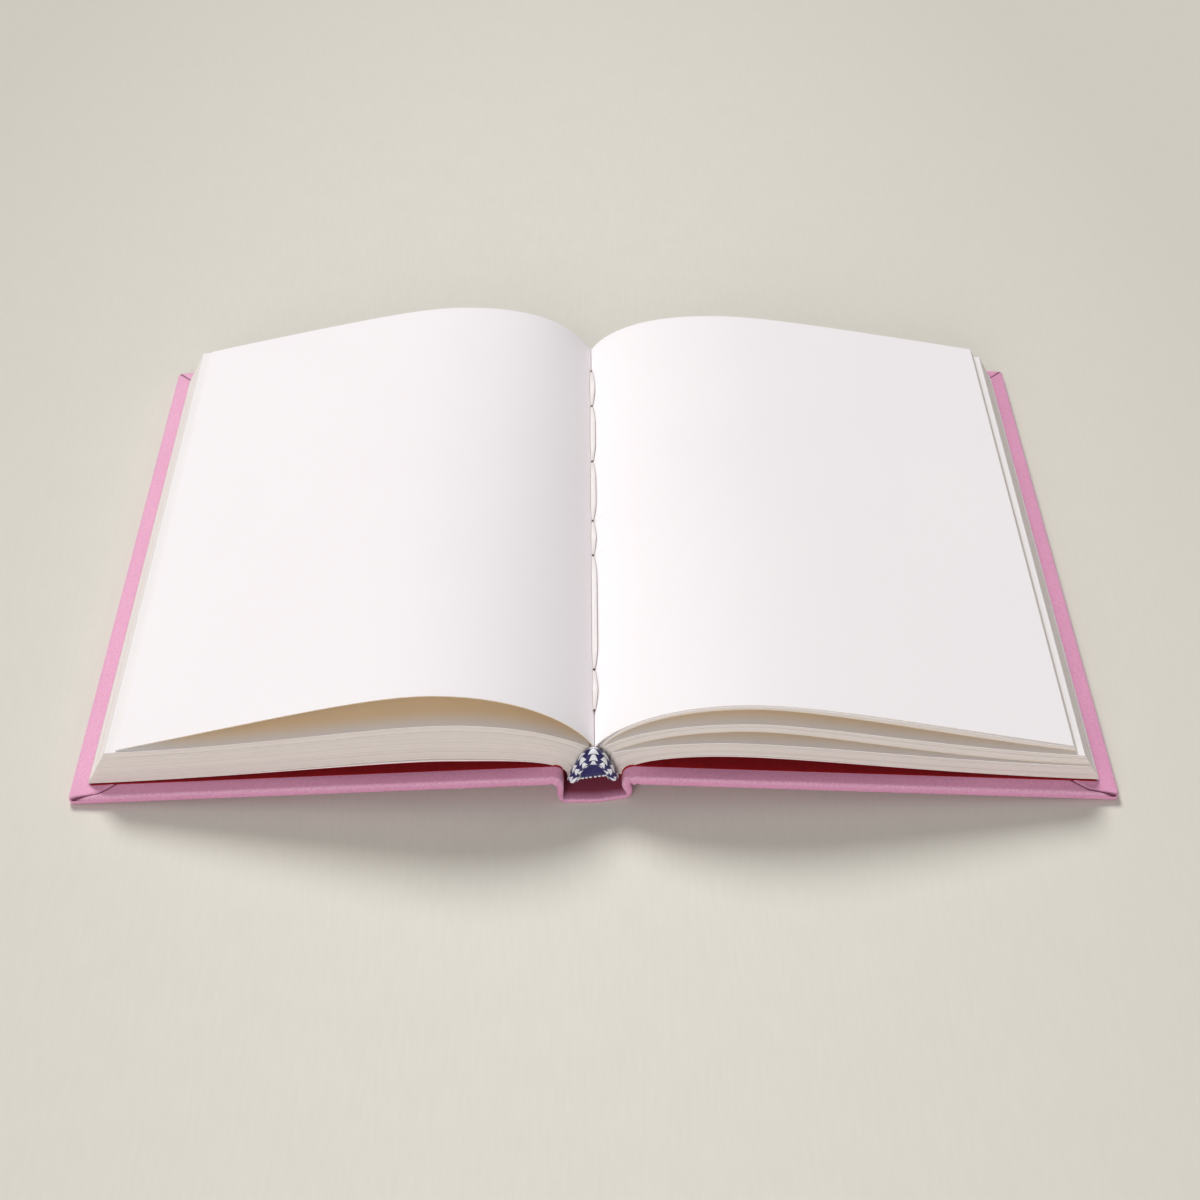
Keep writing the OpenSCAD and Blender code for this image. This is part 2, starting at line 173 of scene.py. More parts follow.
class Builder:
    """Gathers closed prisms and rings into one mesh, with a tone and a depth at every point."""

    def __init__(self):
        self.points, self.faces, self.slots, self.values = [], [], [], {}
        self.count = 0

    def add(self, points, faces, slots, **values):
        points = np.asarray(points, float).reshape(-1, 3)
        self.points.append(points)
        self.faces.append(np.asarray(faces) + self.count)
        self.slots.append(np.broadcast_to(slots, len(faces)))
        for name, value in values.items():
            self.values.setdefault(name, []).append(np.broadcast_to(value, len(points)).astype(float))
        self.count += len(points)

    def prism(self, under, over, slots=(0, 0, 0, 0, 0), **values):
        """Solid between two grids of points, indexed (line along Y, step along the curve).
        The slots are those of the under side, outer edge, over side, root edge and the two ends."""
        lines, steps = under.shape[:2]
        ring = np.concatenate([under, over[:, ::-1]], axis=1)
        m = 2 * steps
        j, i = np.meshgrid(np.arange(lines - 1), np.arange(m), indexing="ij")
        a, b = j * m + i, j * m + (i + 1) % m
        sides = np.stack([a, b, b + m, a + m], -1).reshape(-1, 4)
        kind = np.concatenate([np.full(steps - 1, slots[0]), [slots[1]],
                               np.full(steps - 1, slots[2]), [slots[3]]])
        i = np.arange(steps - 1)
        cap = np.stack([i, m - 1 - i, m - 2 - i, i + 1], -1)
        far = cap[:, ::-1] + (lines - 1) * m
        faces = np.concatenate([sides, cap, far])
        kinds = np.concatenate([np.tile(kind, lines - 1), np.full(2 * (steps - 1), slots[4])])
        grids = {name: np.concatenate([np.broadcast_to(v, (lines, steps)),
                                       np.broadcast_to(v, (lines, steps))[:, ::-1]], axis=1).ravel()
                 for name, v in values.items()}
        self.add(ring.reshape(-1, 3), faces, kinds, **grids)

    def tube(self, rings, slot=0, **values):
        """Closed tube through rings of points, indexed (ring, point)."""
        count, m = rings.shape[:2]
        j, i = np.meshgrid(np.arange(count - 1), np.arange(m), indexing="ij")
        a, b = j * m + i, j * m + (i + 1) % m
        sides = np.stack([a, b, b + m, a + m], -1).reshape(-1, 4)
        ends = np.stack([rings[0].mean(0), rings[-1].mean(0)])
        i = np.arange(m)
        first = np.stack([np.full(m, count * m), (i + 1) % m, i], -1)
        last = np.stack([np.full(m, count * m + 1), i + (count - 1) * m, (i + 1) % m + (count - 1) * m], -1)
        points = np.concatenate([rings.reshape(-1, 3), ends])
        grids = {}
        for name, value in values.items():
            value = np.broadcast_to(value, (count, m))
            grids[name] = np.concatenate([value.ravel(), [value[0].mean(), value[-1].mean()]])
        base = self.count
        self.add(points, sides, slot, **grids)
        for fan in (first, last):
            self.faces.append(fan + base)
            self.slots.append(np.full(len(fan), slot))

    def build(self, name, materials, sharp=35):
        mesh = bpy.data.meshes.new(name)
        faces = [face.tolist() for group in self.faces for face in group]
        mesh.from_pydata((np.concatenate(self.points) * MM).tolist(), [], faces)
        for material in materials:
            mesh.materials.append(material)
        mesh.polygons.foreach_set("material_index", np.concatenate(self.slots).astype(np.int32))
        for key, parts in self.values.items():
            attribute = mesh.attributes.new(key, "FLOAT", "POINT")
            attribute.data.foreach_set("value", np.concatenate(parts).astype(np.float32))
        work = bmesh.new()
        work.from_mesh(mesh)
        bmesh.ops.recalc_face_normals(work, faces=work.faces)
        work.to_mesh(mesh)
        work.free()
        mesh.shade_smooth()
        mesh.set_sharp_from_angle(angle=math.radians(sharp))
        mesh.update()
        piece = bpy.data.objects.new(name, mesh)
        bpy.context.scene.collection.objects.link(piece)
        return piece


def extruded(curve, lines, side):
    """Grid of a curve in X and Z at each line along Y, on one side of the middle."""
    grid = np.empty((len(lines), len(curve), 3))
    grid[..., 0] = side * curve[:, 0]
    grid[..., 1] = np.asarray(lines)[:, None]
    grid[..., 2] = curve[:, 1]
    return grid


def smoothstep(value, low, high):
    t = np.clip((value - low) / (high - low), 0, 1)
    return t * t * (3 - 2 * t)


def lower_towards_head(grid, crest, drop):
    """Lowers the crest of a leaf towards the head, by the drop at the head end."""
    x = np.abs(grid[..., 0])
    swell = smoothstep(x, 0, crest) - smoothstep(x, crest, LOWEST_EDGE_X - 8)
    grid[..., 2] -= drop * swell * (grid[..., 1] - PAGE_TAIL) / (PAGE_HEAD - PAGE_TAIL)
    return grid


# Materials

class Nodes:
    """Short names for making a material's nodes."""

    def __init__(self, name, roughness, sheen=0.0, specular=0.4):
        self.material = bpy.data.materials.new(name)
        self.material.use_nodes = True
        self.tree = self.material.node_tree
        self.shader = self.tree.nodes["Principled BSDF"]
        self.shader.inputs["Roughness"].default_value = roughness
        self.shader.inputs["Sheen Weight"].default_value = sheen
        self.shader.inputs["Specular IOR Level"].default_value = specular

    def node(self, kind, **settings):
        made = self.tree.nodes.new(kind)
        for key, value in settings.items():
            setattr(made, key, value)
        return made

    def link(self, source, target):
        self.tree.links.new(source, target)

    def place(self, stretch=(1, 1, 1), shift=(0, 0, 0)):
        """Place on the object in metres, stretched along an axis and shifted."""
        coordinates = self.node("ShaderNodeTexCoord")
        mapping = self.node("ShaderNodeMapping")
        mapping.inputs["Scale"].default_value = stretch
        mapping.inputs["Location"].default_value = shift
        self.link(coordinates.outputs["Object"], mapping.inputs["Vector"])
        return mapping.outputs["Vector"]

    def noise(self, scale, stretch=(1, 1, 1), detail=3.0, rough=0.55):
        noise = self.node("ShaderNodeTexNoise")
        noise.inputs["Scale"].default_value = scale
        noise.inputs["Detail"].default_value = detail
        noise.inputs["Roughness"].default_value = rough
        self.link(self.place(stretch), noise.inputs["Vector"])
        return noise.outputs["Fac"]

    def cells(self, scale, stretch=(1, 1, 1)):
        cells = self.node("ShaderNodeTexVoronoi", feature="SMOOTH_F1")
        cells.inputs["Scale"].default_value = scale
        cells.inputs["Smoothness"].default_value = 0.5
        self.link(self.place(stretch), cells.inputs["Vector"])
        return cells.outputs["Distance"]

    def value(self, name):
        return self.node("ShaderNodeAttribute", attribute_name=name).outputs["Fac"]

    def ramp(self, source, low, high, to_low=0.0, to_high=1.0):
        mapped = self.node("ShaderNodeMapRange")
        for key, value in (("From Min", low), ("From Max", high), ("To Min", to_low), ("To Max", to_high)):
            mapped.inputs[key].default_value = value
        self.link(source, mapped.inputs["Value"])
        return mapped.outputs["Result"]

    def mix(self, share, first, second):
        """Mix of two colours; each is a colour or a socket."""
        mixed = self.node("ShaderNodeMix", data_type="RGBA")
        self.link(share, mixed.inputs["Factor"])
        for socket, colour in ((mixed.inputs["A"], first), (mixed.inputs["B"], second)):
            if isinstance(colour, tuple):
                socket.default_value = (*colour, 1)
            else:
                self.link(colour, socket)
        return mixed.outputs["Result"]

    def math(self, operation, first, second=None):
        made = self.node("ShaderNodeMath", operation=operation)
        for socket, value in zip(made.inputs, (first, second)):
            if value is None:
                continue
            if isinstance(value, (int, float)):
                socket.default_value = value
            else:
                self.link(value, socket)
        return made.outputs["Value"]

    def colour(self, socket):
        self.link(socket, self.shader.inputs["Base Color"])

    def bump(self, height, distance_mm, strength=1.0):
        bump = self.node("ShaderNodeBump")
        bump.inputs["Distance"].default_value = distance_mm * MM
        bump.inputs["Strength"].default_value = strength
        self.link(height, bump.inputs["Height"])
        self.link(bump.outputs["Normal"], self.shader.inputs["Normal"])


def pink_cloth():
    """Fine-grained pink cover cloth, with a painted highlight on its rounded edges, darker in its seams,
    and painted shade deep inside the spine hollow.
    """
    n = Nodes("pink_cloth", roughness=0.5, sheen=0.1, specular=0.22)
    grain = n.cells(1500)
    fine = n.noise(2600, detail=2)
    broad = n.noise(28, detail=3)
    base = n.mix(n.ramp(broad, 0.3, 0.7), (0.775, 0.345, 0.545), (0.815, 0.38, 0.585))
    grained = n.mix(n.ramp(grain, 0.2, 0.75, 0.0, 0.3), base, (0.55, 0.19, 0.33))
    # Painted highlight: a dotted lighter band along the rounded edges, standing in for light caught there.
    painted_rim_highlight = n.math("MULTIPLY", n.value("rim"), n.ramp(n.cells(1900), 0.15, 0.6, 0.8, 0.2))
    lit = n.mix(painted_rim_highlight, grained, (0.95, 0.62, 0.78))
    # Painted shade: the cloth deep inside the spine hollow is darkened towards maroon.
    shaded = n.mix(n.value("hollow"), lit, (0.36, 0.06, 0.11))
    seam = n.ramp(n.math("ABSOLUTE", n.value("seam")), 0.06, 0.36, 1.0, 0.0)
    n.colour(n.mix(seam, shaded, (0.13, 0.018, 0.05)))
    height = n.math("ADD", n.math("MULTIPLY", grain, -0.9), n.math("MULTIPLY", fine, 0.5))
    n.bump(height, 0.035, 0.8)
    return n.material


def paper(name, colour, warm_colour):
    """Smooth uncoated paper, with painted shade that turns it tan deep inside the gaps between leaves."""
    n = Nodes(name, roughness=0.82, specular=0.2)
    fibres = n.noise(420, stretch=(1, 0.6, 1), detail=4)
    clouds = n.noise(22, detail=2)
    toned = n.mix(n.ramp(clouds, 0.35, 0.7, 0.0, 0.35), colour, tuple(0.955 * c for c in colour))
    warmed = n.mix(n.value("warm"), toned, warm_colour)
    shaded = n.mix(n.value("tone"), warmed, (0.48, 0.41, 0.36))
    n.colour(shaded)
    n.bump(fibres, 0.012, 0.5)
    return n.material


def page_open():
    """The page that lies open: white, with the faintest clouding."""
    n = Nodes("open_page", roughness=0.85, specular=0.1)
    fibres = n.noise(420, stretch=(1, 0.6, 1), detail=4)
    clouds = n.noise(14, detail=2)
    n.colour(n.mix(n.ramp(clouds, 0.3, 0.7), (0.965, 0.925, 0.945), (0.98, 0.945, 0.96)))
    n.bump(fibres, 0.01, 0.5)
    return n.material


def endpaper(name):
    """Matt deep red endpaper."""
    n = Nodes(name, roughness=0.7, sheen=0.05, specular=0.25)
    fibres = n.noise(500, stretch=(1, 0.5, 1), detail=4)
    n.colour(n.mix(n.ramp(fibres, 0.3, 0.7), (0.31, 0.006, 0.010), (0.41, 0.010, 0.015)))
    n.bump(fibres, 0.015, 0.5)
    return n.material


def woven_band():
    """Woven silk in white and navy; the white share comes with the mesh."""
    n = Nodes("woven_band", roughness=0.5, sheen=0.25, specular=0.4)
    threads = n.value("thread")
    check = n.ramp(n.value("check"), -0.06, 0.06)
    fuzz = n.noise(3000, detail=2)
    navy = n.mix(n.ramp(fuzz, 0.3, 0.7), (0.008, 0.006, 0.07), (0.022, 0.018, 0.17))
    white = n.mix(n.ramp(fuzz, 0.3, 0.7), (0.88, 0.90, 0.99), (0.95, 0.96, 1.0))
    n.colour(n.mix(check, navy, white))
    n.bump(n.math("ADD", threads, n.math("MULTIPLY", fuzz, 0.3)), 0.05, 0.7)
    return n.material


def sewing_thread_finish():
    """Soft white linen thread, with painted shade along its sides and near the stations, and near-black
    painted shade at the holes.
    """
    n = Nodes("linen_thread", roughness=0.8, sheen=0.1, specular=0.2)
    strands = n.noise(1400, stretch=(1, 0.25, 1), detail=3)
    edge = n.value("edge")
    base = n.mix(n.ramp(strands, 0.3, 0.7), (0.83, 0.795, 0.79), (0.89, 0.86, 0.855))
    # Painted shade: darker along the strand's sides and near the stations, near black at the holes.
    shaded = n.mix(edge, base, (0.50, 0.45, 0.43))
    n.colour(n.mix(n.value("hole"), shaded, (0.10, 0.06, 0.055)))
    n.bump(strands, 0.03, 0.5)
    return n.material


def board_finish(name, light, dark):
    """Grey pressed board with fibres and flecks."""
    n = Nodes(name, roughness=0.9, specular=0.15)
    fibres = n.noise(700, stretch=(1, 0.35, 1), detail=5)
    flecks = n.cells(520)
    base = n.mix(n.ramp(fibres, 0.3, 0.7), dark, light)
    n.colour(n.mix(n.ramp(flecks, 0.0, 0.16, 0.5, 0.0), base, tuple(0.6 * c for c in dark)))
    n.bump(fibres, 0.05, 0.6)
    return n.material


def lining_finish():
    """Open-weave cotton stiffened with glue."""
    n = Nodes("open_weave_lining", roughness=0.85, specular=0.2)
    across = n.noise(900, stretch=(1, 0.02, 0.02), detail=1)
    along = n.noise(900, stretch=(0.02, 1, 0.02), detail=1)
    weave = n.math("MAXIMUM", across, along)
    n.colour(n.mix(n.ramp(weave, 0.45, 0.7), (0.50, 0.44, 0.36), (0.78, 0.74, 0.66)))
    n.bump(weave, 0.12, 0.8)
    return n.material


PINK = pink_cloth()
# The last colour given to each paper is the tan of its painted shade between the leaves.
PAGE = paper("page_paper", (0.955, 0.925, 0.93), (0.93, 0.765, 0.55))
PAGE_OPEN = page_open()
PAGE_EDGE = paper("page_edges", (0.87, 0.80, 0.755), (0.82, 0.72, 0.60))
RED = endpaper("red_endpaper")
BAND = woven_band()
THREAD = sewing_thread_finish()
GREYBOARD = board_finish("greyboard", (0.42, 0.39, 0.35), (0.32, 0.30, 0.27))
LINING = lining_finish()


def dress(node, material):
    """Gives a CAD node a procedural material in place of its plain one."""
    target = frame["nodes"][node]
    target.data.materials.clear()
    target.data.materials.append(material)


# Text block

lowest_edge = np.array([LOWEST_EDGE_X, inner_face(LOWEST_EDGE_X) + REST_GAP + PAPER_T])
tilt = math.degrees(COVER_TILT)
tunnel_root = np.array([1.6, GUTTER_H + 0.2])
low_root = np.array([5.0, GUTTER_H - 2.2])
top_root = np.array([2.6, GUTTER_H + 0.2])
gutter_root = np.array([0.12, GUTTER_H - 0.1])

left_top_edge = edge_top(lowest_edge, LEFT_T, LEFT_LEAN)
left_under = leaf(FOOT, 90, (LEFT_CREST, LEFT_LIFT), lowest_edge, tilt)
left_over = leaf(tunnel_root, 27, (LEFT_CREST - 0.8, LEFT_LIFT + LEFT_T - 0.4), left_top_edge, 3.2)
leaf_edge = left_top_edge + [-LEAF_BACK, LEAF_BACK * math.tan(math.radians(3.2)) + GROUP_GAP]
leaf_crest_h = LEFT_LIFT + LEFT_T + LEAF_RISE
leaf_under = leaf(gutter_root + [LEAF_T, -0.1], 66, (LEAF_CREST, leaf_crest_h - LEAF_T), leaf_edge, 14.4)
leaf_over = leaf(gutter_root, 67, (LEAF_CREST, leaf_crest_h), leaf_edge + [0, LEAF_T], 14.4)

low_top_edge = edge_top(lowest_edge, LOW_EDGE_T, RIGHT_LEAN)
low_top_h = RIGHT_LIFT + LOW_T
mid_edge = low_top_edge + [-GROUP_GAP / 2, GROUP_GAP]
mid_top_edge = edge_top(mid_edge, MID_EDGE_T, RIGHT_LEAN)
mid_h = low_top_h + LOW_GAP
top_edge = mid_top_edge + [-TOP_BACK, TOP_BACK * math.tan(math.radians(30))]
top_top_edge = edge_top(top_edge, TOP_EDGE_T, RIGHT_LEAN)
top_h = mid_h + MID_T + TOP_GAP
low_under = leaf(FOOT, 88, (LOW_CREST, RIGHT_LIFT), lowest_edge, tilt)
low_over = leaf(low_root, 17, (LOW_CREST, low_top_h), low_top_edge, 3.4)
mid_under = leaf(low_root, 30, (MID_CREST, mid_h), mid_edge, 3.3)
mid_over = leaf(top_root, 38, (MID_CREST, mid_h + MID_T), mid_top_edge, 4.5)
top_under = leaf(top_root, 60, (TOP_CREST, top_h), top_edge, 9.6)
top_over = leaf(gutter_root, 61, (TOP_CREST, top_h + TOP_T), top_top_edge, 11.1)

# Finish of the paper: the plies, what stands proud, the painted shade in the gaps between leaves, and how
# the open leaves lie
PLY_SLOTS = (0, 1, 0, 0, 1)
TOP_PLY_SLOTS = (0, 0, 0, 0, 0)
PLY_PITCH, PLY_SHARE = 0.2, 0.92
TOP_PROUD, FLYLEAF_PROUD = 0.35, 0.25
EDGE_SPREAD, END_SPREAD = 0.03, 0.02
GAP_SHADE_END, GAP_SHADE_FROM_EDGE = 7.0, (4, 22)
SAG_SHARE = 0.35
LEFT_BULGE, RIGHT_BULGE, BULGE_REACH = 0.1, 0.95, 5.0
LEFT_WAVES, RIGHT_WAVES = 0.22, 0.1
LEFT_DROP, RIGHT_DROP = 2.2, 1.9
OPENING_REACH = 9.0


def ply_bounds(count, creases):
    """Lower and upper share of each ply in a stack, with a wider space after each creased ply."""
    size = rng.uniform(0.9, 1.1, count)
    space = np.full(count, 1 - PLY_SHARE) * rng.uniform(0.5, 1.5, count)
    for index, extra in creases.items():
        space[index] += extra
    total = (size * PLY_SHARE + space).sum()
    lower = np.cumsum(size * PLY_SHARE + space) - (size * PLY_SHARE + space)
    return lower / total, (lower + size * PLY_SHARE) / total


def ply_shades(count):
    """Tone of each ply's edge: it drifts slowly through the stack, with a little grain."""
    k = np.arange(count)
    drift = np.sin(k / 2.3 + rng.uniform(0, 6)) + 0.7 * np.sin(k / 0.9 + rng.uniform(0, 6))
    return np.clip(0.12 + 0.045 * drift + rng.normal(0, 0.02, count), 0, 0.3)


def end_lines(proud):
    """Lines along Y that are close together near the ends of the pages."""
    steps = np.array([0, 1, 2.5, 4.5, 7, 10, 14, 19, 26])
    return np.concatenate([PAGE_TAIL - proud + steps, [0], (PAGE_HEAD + proud - steps)[::-1]])


def warm_depth(curve, near, far):
    """Share of painted shade: 0 in the light and 1 deep between the leaves, by the distance from the
    fore-edge.
    """
    run = np.abs(curve[-1, 0] - curve[:, 0])
    return smoothstep(run, near, far)


def stack(builder, side, under, over, arch_from, arch_to, creases, warm_top, crest=45.0, drop=0.0):
    """A stack of plies between its lowest and its highest curve. The top ply stands a little proud."""
    thick = np.linalg.norm(over[LEAF_STEPS] - under[LEAF_STEPS])
    count = max(6, int(round(thick / PLY_PITCH)))
    lower, upper = ply_bounds(count, creases)
    shades = ply_shades(count)
    top = count - 1
    for k in range(count):
        share = (lower[k] + upper[k]) / 2
        start = arch_point(arch_from + (arch_to - arch_from) * share)
        low = under + (over - under) * lower[k]
        high = under + (over - under) * upper[k]
        reach = rng.normal(0, EDGE_SPREAD)
        outwards = (under[-1] - under[-2]) / np.linalg.norm(under[-1] - under[-2])
        low[-1] += outwards * reach
        high[-1] += outwards * reach
        low = np.vstack([start, low])
        high = np.vstack([start + [0, 0.12], high])
        ends = np.array([PAGE_TAIL + rng.normal(0, END_SPREAD), PAGE_HEAD + rng.normal(0, END_SPREAD)])
        if k < top:
            grids = [lower_towards_head(extruded(curve, ends, side), crest, drop) for curve in (low, high)]
            # The lowest ply takes most of the same painted shade.
            builder.prism(*grids, PLY_SLOTS, tone=shades[k], warm=0.8 if k == 0 else 0.0)
    lines = end_lines(TOP_PROUD)
    grids = [lower_towards_head(extruded(curve, lines, side), crest, drop) for curve in (low, high)]
    depth = np.minimum(lines - PAGE_TAIL, PAGE_HEAD - lines)[:, None]
    # Painted shade on the top ply, growing in from its ends and away from its fore-edge, in the gap under
    # the leaves above.
    warm = warm_top * smoothstep(depth, 0.0, GAP_SHADE_END) * warm_depth(low, *GAP_SHADE_FROM_EDGE)
    builder.prism(*grids, TOP_PLY_SLOTS, tone=0.0, warm=warm)


def page_lines():
    """Lines along Y on an open page, closer together at the sewing stations."""
    lines = list(np.linspace(PAGE_TAIL, PAGE_HEAD, 64))
    middle = (PAGE_TAIL + PAGE_HEAD) / 2
    for station in STATIONS:
        lines += [middle + station + d for d in (-2.4, -1.6, -0.9, -0.4, 0, 0.4, 0.9, 1.6, 2.4)]
    return np.unique(np.round(np.clip(lines, PAGE_TAIL, PAGE_HEAD), 3))


def beside_fold(x):
    """1 at the fold and 0 well away from it, by the distance from the middle."""
    return np.exp(-((x - gutter_root[0]) / BULGE_REACH) ** 2)


def stitch_opening(y):
    """How far the fold stands open beside the thread, from 0 at a station to 1 between two."""
    middle = (PAGE_TAIL + PAGE_HEAD) / 2
    opening = np.zeros_like(y)
    for a, b in zip(STATIONS[:-1], STATIONS[1:]):
        t = (y - middle - b) / (a - b)
        inside = (t > 0) & (t < 1)
        reach = np.minimum(t * (a - b), (1 - t) * (a - b))
        opening = np.where(inside, np.sqrt(np.clip(reach / OPENING_REACH, 0, 1)), opening)
    return opening


def open_page(name, side, under, over, bulge, waves, warm_under, crest, drop):
    """The uppermost leaf of one half, which shows its whole page."""
    lines = page_lines()
    builder = Builder()
    low, high = (lower_towards_head(extruded(curve, lines, side), crest, drop) for curve in (under, over))
    x = np.abs(high[..., 0])
    y = high[..., 1]
    swell = np.sin(np.pi * np.clip(x / LOWEST_EDGE_X, 0, 1))
    wave = waves * swell * (np.sin(y / 41 + 0.7 + x / 63) + 0.6 * np.sin(y / 17 + x / 35 + 2.1))
    shift = bulge * stitch_opening(y) * beside_fold(x)
    for grid in (low, high):
        grid[..., 2] += wave
        grid[..., 0] += side * shift
    # Painted shade on the leaf's underside and edges, deepening away from its fore-edge.
    warm = np.broadcast_to(warm_depth(under, 2, 22) * warm_under, low.shape[:2])
    top, edge, bottom = 0, 1, 2
    builder.prism(low, high, (bottom, edge, top, edge, edge), tone=0.0, warm=warm)
    piece = builder.build(name, [PAGE_OPEN, PAGE_EDGE, PAGE])
    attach(piece, "text_block")
    return piece


def page_block_pieces():
    """The four stacks of plies, the strip in the fold between them and the two open leaves."""
    block = Builder()
    reach = FOOT[0] - FOOT_T
    stack(block, -1, left_under, left_over, reach, 0.9, {14: 0.5, 27: 0.3, 41: 0.6, 53: 0.8}, 1.0)
    stack(block, 1, low_under, low_over, reach, 4.4, {6: 0.3, 17: 0.4}, 1.0)
    stack(block, 1, mid_under, mid_over, 4.4, 2.3, {9: 0.4}, 1.0)
    below = top_under + (top_over - top_under) * (1 - LEAF_T / TOP_T)
    beside_thread = below.copy()
    beside_thread[:, 0] += RIGHT_BULGE * beside_fold(below[:, 0])
    stack(block, 1, top_under, beside_thread, 2.3, 0.6, {4: 0.3}, 0.0, TOP_CREST, RIGHT_DROP)
    fold = np.array([[-1.2, -0.95], [0, -0.5], [1.2, -0.95]]) + [0, GUTTER_H]
    ends = np.array([PAGE_TAIL + 0.3, PAGE_HEAD - 0.3])
    block.prism(extruded(fold - [0, 0.4], ends, 1), extruded(fold, ends, 1), tone=0.12, warm=0.0)
    pages = block.build("page_stacks", [PAGE, PAGE_EDGE])
    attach(pages, "text_block")
    left = open_page("left_open_leaf", -1, leaf_under, leaf_over, bulge=LEFT_BULGE, waves=LEFT_WAVES,
                     warm_under=0.9, crest=LEAF_CREST, drop=LEFT_DROP)
    right = open_page("right_open_leaf", 1, below + [0, 0.04], top_over, bulge=RIGHT_BULGE,
                      waves=RIGHT_WAVES, warm_under=0.2, crest=TOP_CREST, drop=RIGHT_DROP)
    for piece in (pages, left, right):
        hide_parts("page_block")


def flyleaf(name, side, curve_under, sag):
    """Free leaf of an endpaper: white on the page side, red below, sagging a little under the stack."""
    builder = Builder()
    lines = np.linspace(PAGE_TAIL - FLYLEAF_PROUD, PAGE_HEAD + FLYLEAF_PROUD, 24)
    swell = smoothstep(curve_under[:, 0], FOOT[0] + 2, 40) - smoothstep(curve_under[:, 0], 48, 128)
    hang = np.stack([np.zeros_like(swell), -swell], -1)
    under = curve_under + [0.0, -PAPER_T] + sag * hang
    under[:4, 0] += PAPER_T
    above = curve_under - [0, 0.01] + SAG_SHARE * sag * hang
    middle = under + (above - under) * 0.3
    fold = np.array([[FOOT[0] + 0.12, FOOT[1] - 0.35]])
    low = np.vstack([fold + [0.14, 0], under])
    mid = np.vstack([fold + [0.07, 0.03], middle])
    high = np.vstack([fold, above])
    low, mid, high = (extruded(curve, lines, side) for curve in (low, mid, high))
    white, red = (0, 0, 0, 0, 0), (1, 1, 1, 1, 1)
    builder.prism(low, mid, red, tone=0.0, warm=0.0)
    builder.prism(mid, high, white, tone=0.0, warm=0.0)
    piece = builder.build(name + "_sheet", [PAGE, RED])
    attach(piece, "text_block")
    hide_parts(name)


# Case

def cover_point(x, z):
    """Point in the notebook's frame, from its place out from the hinge line and up through the board."""
    cos, sin = math.cos(COVER_TILT), math.sin(COVER_TILT)
    return np.stack([HINGE_X + x * cos + z * sin, HINGE_Z - x * sin + z * cos], -1)


def edge_lines(fine_to, fine_step):
    """Distances from an edge: closest at the rounding, fine as far as the turn-in, then none."""
    rounding = [0, 0.05, 0.16, 0.34, 0.6, 0.95, 1.4, 1.9, 2.4, 3.0]
    return np.concatenate([rounding, np.arange(3.0 + fine_step, fine_to, fine_step)])


def mitre_distance(a, b, y):
    """Signed distance from the seam between two turn-ins, a from the fore-edge and b from the end.
    The tail corners have a seam that swings in late; the head corners are cut straight."""
    swing = 0.2 * a - 0.3 + 0.3 * np.clip(a - 8.3, 0, None) ** 1.35
    slope = 0.2 + 0.3 * 1.35 * np.clip(a - 8.3, 0, None) ** 0.35
    tail = (b - swing) / np.sqrt(1 + slope ** 2)
    head = (b - a) / math.sqrt(2)
    return np.where(y < 0, tail, head)


def straight(start, end):
    """A straight stretch as the four points of a curve."""
    start, end = np.array(start, float), np.array(end, float)
    return start, start + (end - start) / 3, start + (end - start) * 2 / 3, end


def case_outline(side):
    """Outer and inner line of the case from the middle of its spine to the fore-edge of a cover.
    The right joint is tucked in more sharply than the left one."""
    if side < 0:
        wall_out = [(8.0, 0.0), (10.6, 0.0), (11.2, 2.6), (11.0, 5.4)]
        tuck = [(11.0, 5.4), (10.95, 6.7), (11.5, HINGE_Z - 0.1)]
        wall_in = [(8.8, FLOOR_T), (9.5, FLOOR_T + 0.6), (8.95, 4.2), (9.0, 6.2)]
        lip = [(9.0, 6.2), (9.05, 9.2), (9.9, HINGE_Z + COVER_T + 0.1)]
    else:
        wall_out = [(8.0, 0.0), (10.9, 0.0), (11.7, 2.4), (10.8, 5.0)]
        tuck = [(10.8, 5.0), (10.4, 6.5), (11.3, HINGE_Z - 0.1)]
        wall_in = [(8.9, FLOOR_T), (10.3, FLOOR_T + 0.6), (8.0, 3.4), (7.95, 5.4)]
        lip = [(7.95, 5.4), (7.95, 8.6), (9.3, HINGE_Z + COVER_T + 0.15)]
    outer = [bezier(*straight((0, 0.0), wall_out[0]), FLOOR_POINTS),
             bezier(*np.array(wall_out), WALL_POINTS),
             bezier(*np.array(tuck), cover_point(1.0, 0.0), LIP_POINTS)]
    inner = [bezier(*straight((0, FLOOR_T), wall_in[0]), FLOOR_POINTS),
             bezier(*np.array(wall_in), WALL_POINTS),
             bezier(*np.array(lip), cover_point(1.0, COVER_T), LIP_POINTS)]
    from_edge = edge_lines(TURN_IN_LINES, 0.45)
    coarse = [2.0, 3.5, 6, 9, 13, 18, 25, 33, 42, 52, 62, 73, 84, 95, 105, 114, 121]
    x = np.unique(np.concatenate([[1.0], coarse, COVER_W - from_edge]))
    return np.vstack(outer), np.vstack(inner), x


def spine_slant(x, from_tail):
    """How far the tail end of the case spine is set back, towards its right side."""
    side = smoothstep(x, -1.0, 9.4) * (1 - smoothstep(x, 9.8, 11.2))
    return SPINE_SLANT * side * (1 - smoothstep(from_tail, 0.0, SLANT_REACH))


